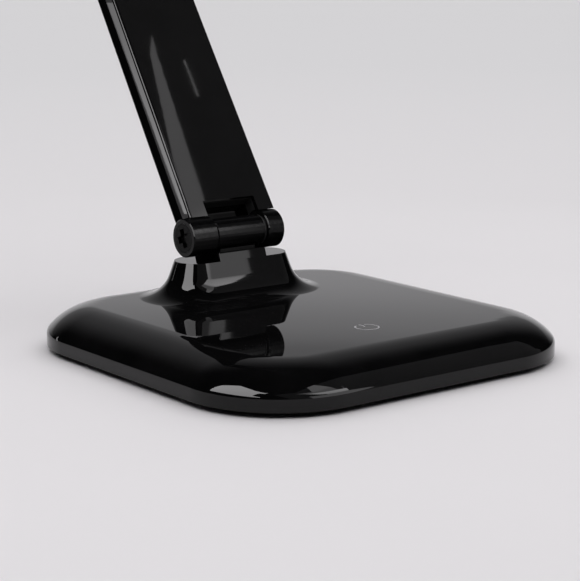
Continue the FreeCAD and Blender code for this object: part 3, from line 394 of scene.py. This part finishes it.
HALF_X = 85.0
HALF_Y = 86.5
CORNER = 41.0
BASE_TOP = 17.6
RIM_TOP = 6.5
RIM_MIDDLE = 4.7
RIM_LOW = 2.0
ROLL = 20.0
RIM_ROUND = 4.0
WALL = 2.4
EDGE = 0.3
PATCH = 12.0
TINY = 0.001
BEVEL = 0.3  # how far in the middle of a small rounding lies, as a share of its radius
CORNER_STEPS = 48
SIDE_STEPS = 22
ROUND_STEPS = 8
ROLL_STEPS = 14

NECK_Y = 46.6
NECK_LONG = 27.0
NECK_DEEP = 9.6
NECK_FLAT = NECK_LONG - NECK_DEEP
DRAFT = math.radians(20)
FLARE = 14.0
LEDGE = 33.0
NECK_ROUND_STEPS = 40
NECK_FLAT_STEPS = 20
FLANK_STEPS = 4
FLARE_STEPS = 24

PEDESTAL_HALF = 12.2
PEDESTAL_TOP = 36.6
PEDESTAL_SOFT = 0.45
PEDESTAL_INSIDE = 0.05
PEDESTAL_SUNK = 1.0
PEDESTAL_STEPS = 4

JACK_HOLE = 4.6
JACK_HIGH = 8.2
JACK_PATCH = 12.0
JACK_ROOM = 0.6
JACK_STEPS = 48
STRAIGHT = 0.99

GRID = 3.0
GRID_HALF = 30
GRID_ROOM = 1.2


def base_ring(half_x, half_y, corner, corner_steps, side_steps):
    """Points of a rounded rectangle with their outward normals, counter-clockwise."""
    ring = []
    corners = ((1, -1, -90), (1, 1, 0), (-1, 1, 90), (-1, -1, 180))
    for index, (x, y, start) in enumerate(corners):
        centre = Vector((x * (half_x - corner), y * (half_y - corner), 0))
        for step in range(corner_steps + 1):
            angle = math.radians(start + 90 * step / corner_steps)
            out = Vector((math.cos(angle), math.sin(angle), 0))
            ring.append((centre + out * corner, out))
        last, out = ring[-1]
        next_x, next_y, _ = corners[(index + 1) % len(corners)]
        goal = Vector((next_x * (half_x - corner), next_y * (half_y - corner), 0)) + out * corner
        for step in range(1, side_steps):
            ring.append((last.lerp(goal, step / side_steps), out))
    return ring


def roll_radius(small, rise):
    """Radius of the arc that runs from the rim's rounding into the flat top."""
    flat = ROLL - RIM_ROUND
    return (flat * flat + rise * rise - small * small) / (2 * (rise - small))


def roll_rows(inset, stop):
    """The rolled edge's profile from the rim up: inset from the outline, height, slope angle."""
    small = RIM_ROUND - inset
    top = BASE_TOP - inset
    rise = top - RIM_TOP
    large = roll_radius(small, rise)
    turn = math.atan2(large - rise, ROLL - RIM_ROUND)
    rows = []
    for step in range(ROUND_STEPS + 1):
        angle = turn * step / ROUND_STEPS
        rows.append((
            RIM_ROUND - small * math.cos(angle), RIM_TOP + small * math.sin(angle), angle))
    last = math.acos((ROLL - stop) / large)
    for step in range(1, ROLL_STEPS + 1):
        angle = turn + (last - turn) * step / ROLL_STEPS
        rows.append((
            ROLL - large * math.cos(angle), top - large + large * math.sin(angle), angle))
    return rows


def slab(place):
    """Height, normal and inset of the base's top at a place in plan, with no neck."""
    x, y = abs(place[0]), abs(place[1])
    corner_x = x - (HALF_X - CORNER)
    corner_y = y - (HALF_Y - CORNER)
    if corner_x > 0 and corner_y > 0:
        reach = math.hypot(corner_x, corner_y)
        inset = CORNER - reach
        out = Vector((
            math.copysign(corner_x, place[0]), math.copysign(corner_y, place[1]), 0)) / reach
    elif HALF_X - x < HALF_Y - y:
        inset = HALF_X - x
        out = Vector((math.copysign(1, place[0]), 0, 0))
    else:
        inset = HALF_Y - y
        out = Vector((0, math.copysign(1, place[1]), 0))
    if inset >= ROLL:
        return BASE_TOP, UP, inset
    large = roll_radius(RIM_ROUND, BASE_TOP - RIM_TOP)
    cosine = min((ROLL - inset) / large, 1.0)
    sine = math.sqrt(1 - cosine * cosine)
    return BASE_TOP - large + large * sine, out * cosine + UP * sine, inset


def neck_ring():
    """Points of the ledge's oblong with outward normals, counter-clockwise."""
    ring = []
    for side, start in ((1, -90), (-1, 90)):
        centre = Vector((side * NECK_FLAT, NECK_Y, 0))
        for step in range(NECK_ROUND_STEPS + 1):
            angle = math.radians(start + 180 * step / NECK_ROUND_STEPS)
            out = Vector((math.cos(angle), math.sin(angle), 0))
            ring.append((centre + out * NECK_DEEP, out))
        last, out = ring[-1]
        for step in range(1, NECK_FLAT_STEPS):
            along = -side * 2 * NECK_FLAT * step / NECK_FLAT_STEPS
            ring.append((last + Vector((along, 0, 0)), out))
    return ring


def neck_rows():
    """The neck's flank from the ledge down: reach out from the ledge, height, slope angle."""
    foot = (LEDGE - BASE_TOP) * math.tan(DRAFT)
    reach = FLARE * math.tan((math.pi / 2 - DRAFT) / 2)
    start = (foot - reach * math.sin(DRAFT), BASE_TOP + reach * math.cos(DRAFT))
    rows = []
    for step in range(FLANK_STEPS):
        height = LEDGE + (start[1] - LEDGE) * step / FLANK_STEPS
        rows.append((start[0] * step / FLANK_STEPS, height, DRAFT))
    for step in range(FLARE_STEPS + 1):
        angle = DRAFT + (math.pi / 2 - DRAFT) * step / FLARE_STEPS
        height = BASE_TOP + FLARE - FLARE * math.sin(angle)
        rows.append((foot + reach - FLARE * math.cos(angle), height, angle))
    return rows


def leaning(out, angle):
    """A normal that leans up from an outward direction."""
    return out * math.cos(angle) + UP * math.sin(angle)


def looped(indices):
    return list(zip(indices, indices[1:] + indices[:1]))


def filled(points, edges, keep):
    """Triangles between fixed edges, of those that keep accepts; no new points are expected."""
    places, _, triangles, origins, _, _ = delaunay_2d_cdt(points, edges, [], 0, 1e-6)
    chosen = []
    for triangle in triangles:
        middle = sum((places[corner] for corner in triangle), Vector((0, 0))) / 3
        if keep(middle):
            chosen.append([origins[corner][0] for corner in triangle])
    return chosen


def by_the_jack(ring, index):
    """Whether the step after a ring point lies in the patch round the power inlet."""
    here, out = ring[index]
    there = ring[(index + 1) % len(ring)][0]
    return out.y > STRAIGHT and abs((here + there).x / 2) < JACK_PATCH


def wall_rings(make, ring, rows):
    """Rings of points and normals for the rows of a profile."""
    rings = []
    for inset, height, angle in rows:
        corners = [make.point(place - out * inset + UP * height) for place, out in ring]
        rings.append((corners, [leaning(out, angle) for _, out in ring]))
    return rings


def wall(make, ring, rings, sign):
    """Faces between the rings of a profile, seen from outside or, with sign -1, from inside."""
    count = len(ring)
    for (first, first_normals), (second, second_normals) in zip(rings, rings[1:]):
        for here in range(count):
            there = (here + 1) % count
            if by_the_jack(ring, here):
                continue
            corners = [first[here], first[there], second[there], second[here]]
            normals = [first_normals[here], first_normals[there],
                       second_normals[there], second_normals[here]]
            if sign < 0:
                corners = corners[::-1]
                normals = [-normal for normal in normals[::-1]]
            make.face(corners, normals)


def jack_patch(make, ring, rings, rows, sign):
    """The wall round the power inlet; gives the ring of points at the hole's edge."""
    columns = [index for index in range(len(ring)) if by_the_jack(ring, index)]
    columns.append(columns[-1] + 1)
    travel = [0.0]
    for first, second in zip(rows, rows[1:]):
        travel.append(travel[-1] + math.hypot(second[0] - first[0], second[1] - first[1]))

    def at_height(height):
        """Distance along the profile, inset and angle at a height."""
        for index, (lower, upper) in enumerate(zip(rows, rows[1:])):
            low, high = lower[1], upper[1]
            if low <= height <= high and high > low:
                share = (height - low) / (high - low)
                inset, _, angle = (
                    first + (second - first) * share for first, second in zip(lower, upper))
                return travel[index] + (travel[index + 1] - travel[index]) * share, inset, angle
        raise ValueError(height)

    plan, corners, normals = [], [], []

    def keep_point(x, along, corner, normal):
        plan.append(Vector((x, along)))
        corners.append(corner)
        normals.append(normal * sign)
        return len(plan) - 1

    spots = {}
    last = len(rings) - 1
    for row, (ids, row_normals) in enumerate(rings):
        for column in columns:
            x = ring[column][0].x
            hidden = math.hypot(x, rows[row][1] - JACK_HIGH) < JACK_HOLE + JACK_ROOM
            edge = row in (0, last) or column in (columns[0], columns[-1])
            if edge or not hidden:
                spots[row, column] = keep_point(x, travel[row], ids[column], row_normals[column])
    rim = [spots[0, column] for column in columns]
    rim += [spots[row, columns[-1]] for row in range(1, last + 1)]
    rim += [spots[last, column] for column in columns[-2::-1]]
    rim += [spots[row, columns[0]] for row in range(last - 1, 0, -1)]
    hole = []
    for step in range(JACK_STEPS):
        angle = 2 * math.pi * step / JACK_STEPS
        x = JACK_HOLE * math.cos(angle)
        height = JACK_HIGH + JACK_HOLE * math.sin(angle)
        along, inset, slope = at_height(height)
        corner = make.point((x, HALF_Y - inset, height))
        hole.append(keep_point(x, along, corner, leaning(Vector((0, 1, 0)), slope)))
    edge_points = [plan[index] for index in hole]

    def outside_hole(place):
        """Counts the hole's edges to the right of a place; an even count is outside."""
        crossings = 0
        for first, second in looped(edge_points):
            if (first.y > place.y) != (second.y > place.y):
                share = (place.y - first.y) / (second.y - first.y)
                crossings += first.x + share * (second.x - first.x) > place.x
        return crossings % 2 == 0

    for triangle in filled(plan, looped(rim) + looped(hole), outside_hole):
        make.triangle([corners[index] for index in triangle],
                      [normals[index] for index in triangle])
    return [corners[index] for index in hole]


def neck(make):
    """The flared neck with its ledge; gives the ring of points at its foot."""
    ring = neck_ring()
    rows = neck_rows()
    flank = []
    for reach, height, angle in rows:
        last = reach == rows[-1][0]
        corners, normals = [], []
        for place, out in ring:
            spot = place + out * reach
            ground, normal, _ = slab(spot)
            corners.append(make.point((spot.x, spot.y, ground if last else max(height, ground))))
            normals.append(normal if last else leaning(out, angle))
        flank.append((corners, normals))
    for (upper, upper_normals), (lower, lower_normals) in zip(flank, flank[1:]):
        make.strip(lower, upper, lower_normals, upper_normals)
    make.face(flank[0][0])
    return flank[-1][0]


def plateau(make, outer, inner):
    """The base's flat top, between the rolled edge and the foot of the neck."""
    corners = outer + inner
    plan = [make.points[corner].xy / MM for corner in corners]
    foot = (make.points[inner[0]].xy / MM - Vector((NECK_FLAT, NECK_Y))).length

    def from_neck(place):
        return Vector((max(abs(place.x) - NECK_FLAT, 0), place.y - NECK_Y)).length - foot

    def on_top(place):
        return slab(place)[2] > PATCH and from_neck(place) > 0

    edges = looped(list(range(len(outer)))) + looped(list(range(len(outer), len(corners))))
    for column in range(-GRID_HALF, GRID_HALF + 1):
        for row in range(-GRID_HALF, GRID_HALF + 1):
            place = Vector((column * GRID, row * GRID))
            height, _, inset = slab(place)
            if inset > PATCH + GRID_ROOM and from_neck(place) > GRID_ROOM:
                plan.append(place)
                corners.append(make.point((place.x, place.y, height)))
    for triangle in filled(plan, edges, on_top):
        make.triangle([corners[index] for index in triangle],
                      [slab(plan[index])[1] for index in triangle])


def pedestal(make):
    """The raised middle of the neck, a block with softened edges, let into the ledge."""
    soft = PEDESTAL_SOFT
    deep = NECK_DEEP - (PEDESTAL_TOP - LEDGE) * math.tan(DRAFT)
    rings = []
    for height, half_y, shrink in (
        (LEDGE - PEDESTAL_SUNK, NECK_DEEP - PEDESTAL_INSIDE, 0.0),
        (LEDGE, NECK_DEEP - PEDESTAL_INSIDE, 0.0),
        (PEDESTAL_TOP - soft, deep + soft * math.tan(DRAFT), 0.0),
        (PEDESTAL_TOP - soft * BEVEL, deep + soft * BEVEL * math.tan(DRAFT), soft * BEVEL),
        (PEDESTAL_TOP, deep, soft),
    ):
        ring = base_ring(PEDESTAL_HALF - shrink, half_y - shrink, soft, PEDESTAL_STEPS, 1)
        rings.append([make.point((place.x, place.y + NECK_Y, height)) for place, _ in ring])
    for lower, upper in zip(rings, rings[1:]):
        make.strip(lower, upper)
    make.face(rings[-1])
    make.face(rings[0][::-1])


def base_shell():
    """The base's top: rolled edge, flat top, flared neck with its raised middle, hollow below."""
    make = Surface()
    ring = base_ring(HALF_X, HALF_Y, CORNER, CORNER_STEPS, SIDE_STEPS)
    outer_rows = [
        (EDGE, RIM_LOW, math.radians(-90)),
        (EDGE * BEVEL, RIM_LOW + EDGE * BEVEL, math.radians(-45)),
        (0, RIM_LOW + EDGE, 0),
        (0, RIM_MIDDLE, 0),
        *roll_rows(0, PATCH),
    ]
    inner_rows = [(WALL, RIM_LOW, 0), (WALL, RIM_MIDDLE, 0), *roll_rows(WALL, ROLL - TINY)]
    outer = wall_rings(make, ring, outer_rows)
    inner = wall_rings(make, ring, inner_rows)
    wall(make, ring, outer, 1)
    wall(make, ring, inner, -1)
    make.strip(inner[0][0], outer[0][0])
    make.face(inner[-1][0][::-1])
    outer_hole = jack_patch(make, ring, outer, outer_rows, 1)
    inner_hole = jack_patch(make, ring, inner, inner_rows, -1)
    make.strip(inner_hole, outer_hole)
    plateau(make, outer[-1][0], neck(make))
    pedestal(make)
    piece = make.build("base_top", FINISH["gloss_black"])
    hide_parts("base_top_shell")
    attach(piece, "base")


base_shell()


# Touch mark: a ring that is open at the back, with a stroke through the gap. Millimetres.

MARK = Vector((0, -43.8))
MARK_RADIUS = 4.65
MARK_LINE = 0.7
MARK_GAP = math.radians(27)
MARK_STROKE = (1.2, 5.0)
MARK_LOW = BASE_TOP - 0.02
MARK_HIGH = BASE_TOP + 0.04
MARK_STEPS = 64


def flat_band(make, left, right):
    """A thin closed strip between two lines of points in plan."""
    left_low, left_high, right_low, right_high = (
        [make.point((place.x, place.y, height)) for place in line]
        for line in (left, right) for height in (MARK_LOW, MARK_HIGH))
    for here in range(len(left) - 1):
        there = here + 1
        make.face((left_high[here], right_high[here], right_high[there], left_high[there]))
        make.face((left_low[there], right_low[there], right_low[here], left_low[here]))
        make.face((right_low[here], right_low[there], right_high[there], right_high[here]))
        make.face((left_low[there], left_low[here], left_high[here], left_high[there]))
    make.face((left_low[0], right_low[0], right_high[0], left_high[0]))
    make.face((right_low[-1], left_low[-1], left_high[-1], right_high[-1]))


def mark_arc(radius):
    """Points round the mark, from one side of the gap to the other."""
    arc = []
    for step in range(MARK_STEPS + 1):
        turn = (2 * math.pi - 2 * MARK_GAP) * step / MARK_STEPS
        angle = math.pi / 2 + MARK_GAP + turn
        arc.append(MARK + Vector((math.cos(angle), math.sin(angle))) * radius)
    return arc


def touch_mark():
    make = Surface()
    flat_band(make, mark_arc(MARK_RADIUS - MARK_LINE / 2), mark_arc(MARK_RADIUS + MARK_LINE / 2))
    left, right = (
        [MARK + Vector((side * MARK_LINE / 2, along)) for along in MARK_STROKE]
        for side in (-1, 1))
    flat_band(make, left, right)
    piece = make.build("touch_mark", print_grey())
    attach(piece, "base")


touch_mark()


# Studio: pale floor, even light for it, and what the gloss mirrors.

FLOOR_HALF = 20000.0
FLOOR_FAR = 5.0
FLOOR_UNEVEN = 0.03
# The paper's own faint pink tint, with painted light: lightest near the object and darker further
# off, standing in for the light's falloff.
FLOOR_TINT_AND_PAINTED_FALLOFF = (
    (0.05, (0.805, 0.782, 0.805)),
    (0.11, (0.755, 0.735, 0.755)),
    (0.34, (0.715, 0.705, 0.722)),
    (1.0, (0.71, 0.70, 0.715)),
)


def floor():
    """Paper whose tone changes slowly with the distance from the object: painted light, lighter
    near the object and darker further off, in place of the light's falloff.
    """
    make = Nodes("floor_paper")
    # Painted light: the tone darkens with the distance from the object, plus a faint random
    # unevenness of the paper.
    far = make.number("MULTIPLY", make.length(make.place), 1 / FLOOR_FAR)
    uneven_and_painted_falloff = make.number("MULTIPLY_ADD", make.noise(6, 3), FLOOR_UNEVEN, far)
    make.colour(uneven_and_painted_falloff, *FLOOR_TINT_AND_PAINTED_FALLOFF)
    make.settings(Roughness=0.9, **{"Specular IOR Level": 0.1})
    surface = Surface()
    corners = ((-1, -1), (1, -1), (1, 1), (-1, 1))
    surface.face([surface.point((x * FLOOR_HALF, y * FLOOR_HALF, 0)) for x, y in corners])
    piece = surface.build("floor", make.material)


SKY_STRENGTH = 3.0
SKY_SPREAD = math.radians(120)
SKY_TILT = (math.radians(-12), math.radians(14), 0)


def even_light():
    """Soft light from above, which the gloss doesn't mirror."""
    data = bpy.data.lights.new("sky", "SUN")
    data.energy = SKY_STRENGTH
    data.angle = SKY_SPREAD
    light = bpy.data.objects.new("sky", data)
    bpy.context.scene.collection.objects.link(light)
    light.rotation_euler = SKY_TILT
    light.visible_glossy = False


# Azimuths grow to the right from the front. The glow's stops are degrees of height and light.
GLOW = math.radians(147)
GLOW_OUTER = math.radians(48)
GLOW_INNER = math.radians(18)
GLOW_TINT = (1, 0.985, 1.01)
GLOW_STOPS = (
    (0, 0.80), (9, 0.75), (11.4, 0.66), (12.2, 0.535), (12.9, 0.455), (13.4, 0.32), (20, 0.27),
    (28, 0.235), (37, 0.21), (44, 0.135), (58, 0.004),
)
ROOM_DARK = (0.004, 0.004, 0.004, 1)


def surround():
    """Dark room with a glow low behind the object, which fades upwards and to the sides."""
    world = bpy.data.worlds.new("room")
    bpy.context.scene.world = world
    world.use_nodes = True
    tree = world.node_tree

    def number(operation, *values):
        node = tree.nodes.new("ShaderNodeMath")
        node.operation = operation
        for socket, value in zip(node.inputs, values):
            if isinstance(value, bpy.types.NodeSocket):
                tree.links.new(value, socket)
            else:
                socket.default_value = value
        return node.outputs["Value"]

    split = tree.nodes.new("ShaderNodeSeparateXYZ")
    place = tree.nodes.new("ShaderNodeTexCoord").outputs["Generated"]
    tree.links.new(place, split.inputs["Vector"])
    x, y, z = (split.outputs[letter] for letter in "XYZ")
    level = number("SQRT", number("ADD", number("MULTIPLY", x, x), number("MULTIPLY", y, y)))
    along_x = number("MULTIPLY", x, math.sin(GLOW))
    along_y = number("MULTIPLY", y, -math.cos(GLOW))
    along = number("ADD", along_x, along_y)
    turn = number("ARCCOSINE", number("DIVIDE", along, level))
    side = tree.nodes.new("ShaderNodeMapRange")
    side.interpolation_type = "SMOOTHSTEP"
    side.inputs["From Min"].default_value = GLOW_OUTER
    side.inputs["From Max"].default_value = GLOW_INNER
    tree.links.new(turn, side.inputs["Value"])
    ramp = tree.nodes.new("ShaderNodeValToRGB")
    fill_ramp(ramp, [(degrees / 90, tinted(light, GLOW_TINT)) for degrees, light in GLOW_STOPS])
    rise = number("DIVIDE", number("ARCSINE", z), math.pi / 2)
    tree.links.new(rise, ramp.inputs["Fac"])
    glow = tree.nodes.new("ShaderNodeMix")
    glow.data_type = "RGBA"
    glow.inputs["A"].default_value = ROOM_DARK
    tree.links.new(side.outputs["Result"], glow.inputs["Factor"])
    tree.links.new(ramp.outputs["Color"], glow.inputs["B"])
    tree.links.new(glow.outputs["Result"], tree.nodes["Background"].inputs["Color"])


def heading(azimuth, elevation):
    """A direction; azimuth 0 is to the front and grows to the right."""
    turn, rise = math.radians(azimuth), math.radians(elevation)
    return Vector((
        math.sin(turn) * math.cos(rise), -math.cos(turn) * math.cos(rise), math.sin(rise)))


# Panels: their azimuth, elevation and centre, an outline in millimetres to the right and up,
# and stops from the lower to the upper edge, each a position and a strength.
SOFTBOX_FULL = 12.0
SOFTBOX_TINT = (1, 0.985, 1)
FRONT = (22, 22)
FRONT_CENTRE = heading(*FRONT) * 2000
SOFTBOXES = {
    "softbox_left": (
        -102.5, 0, (-249, 110, 0),
        ((75, 95), (350, 95), (350, 120), (285, 160), (285, 420), (340, 470), (345, 745),
         (304, 655), (198, 545), (60, 488), (0, 340), (0, 270), (45, 175)),
        ((0, 9.0), (1, 9.5)),
    ),
    "softbox_front": (
        *FRONT, FRONT_CENTRE,
        ((-1085, -800), (540, -800), (572, 0), (582, 132), (626, 318), (693, 560), (783, 803),
         (833, 961), (944, 1331), (966, 1402), (940, 1365), (861, 1162), (795, 990), (640, 990),
         (600, 1500), (350, 2200), (0, 2200), (-200, 1500), (-1085, 1400), (-950, 1250),
         (-480, 300), (-300, 190), (-300, 0), (-1085, -20)),
        ((0, 2.4), (0.291, 2.4), (0.314, 4.6), (0.367, 6.2), (0.533, 7.0), (0.587, 5.0),
         (0.613, 2.1), (0.75, 2.1), (0.82, 2.8), (1, 2.8)),
    ),
    "softbox_slit": (
        *FRONT, FRONT_CENTRE,
        ((967.5, 1240), (969.5, 1240), (990.5, 1322), (988.5, 1322)),
        ((0, 5.0), (1, 5.0)),
    ),
    "softbox_faint": (
        *FRONT, FRONT_CENTRE * 1.1,
        ((-2600, -850), (2600, -850), (2600, 2400), (-2600, 2400)),
        ((0, 0.18), (1, 0.18)),
    ),
    "softbox_low": (
        -147, 0, (-206, 356, 0),
        ((17, 0), (27, 0), (-20, 130), (-30, 130)),
        ((0, 4.6), (1, 2.6)),
    ),
}


def softbox(name, azimuth, elevation, centre, outline, stops):
    """A bright panel that only the gloss mirrors."""
    make = Nodes(name)
    split = make.add("ShaderNodeSeparateXYZ")
    make.link(make.add("ShaderNodeTexCoord").outputs["Generated"], split.inputs["Vector"])
    ramp = make.add("ShaderNodeValToRGB")
    ramp.color_ramp.interpolation = "EASE"
    fill_ramp(ramp, [
        (position, tinted(light / SOFTBOX_FULL, SOFTBOX_TINT)) for position, light in stops])
    make.link(split.outputs["Z"], ramp.inputs["Fac"])
    make.link(ramp.outputs["Color"], make.shader.inputs["Emission Color"])
    make.settings(**{"Base Color": (0, 0, 0, 1), "Emission Strength": SOFTBOX_FULL})
    across = heading(azimuth + 90, 0)
    upright = heading(azimuth, elevation).cross(across)
    surface = Surface()
    surface.face([surface.point(Vector(centre) + across * u + upright * v) for u, v in outline])
    panel = surface.build(name, make.material)
    panel.visible_camera = False
    panel.visible_diffuse = False
    panel.visible_shadow = False


floor()
even_light()
surround()
for name, panel in SOFTBOXES.items():
    softbox(name, *panel)
for unmirrored in ("head_diffuser", "led_board", "leds", "head_heat_spreader"):
    frame["nodes"][unmirrored].visible_glossy = False
bpy.context.scene.view_settings.view_transform = "Standard"
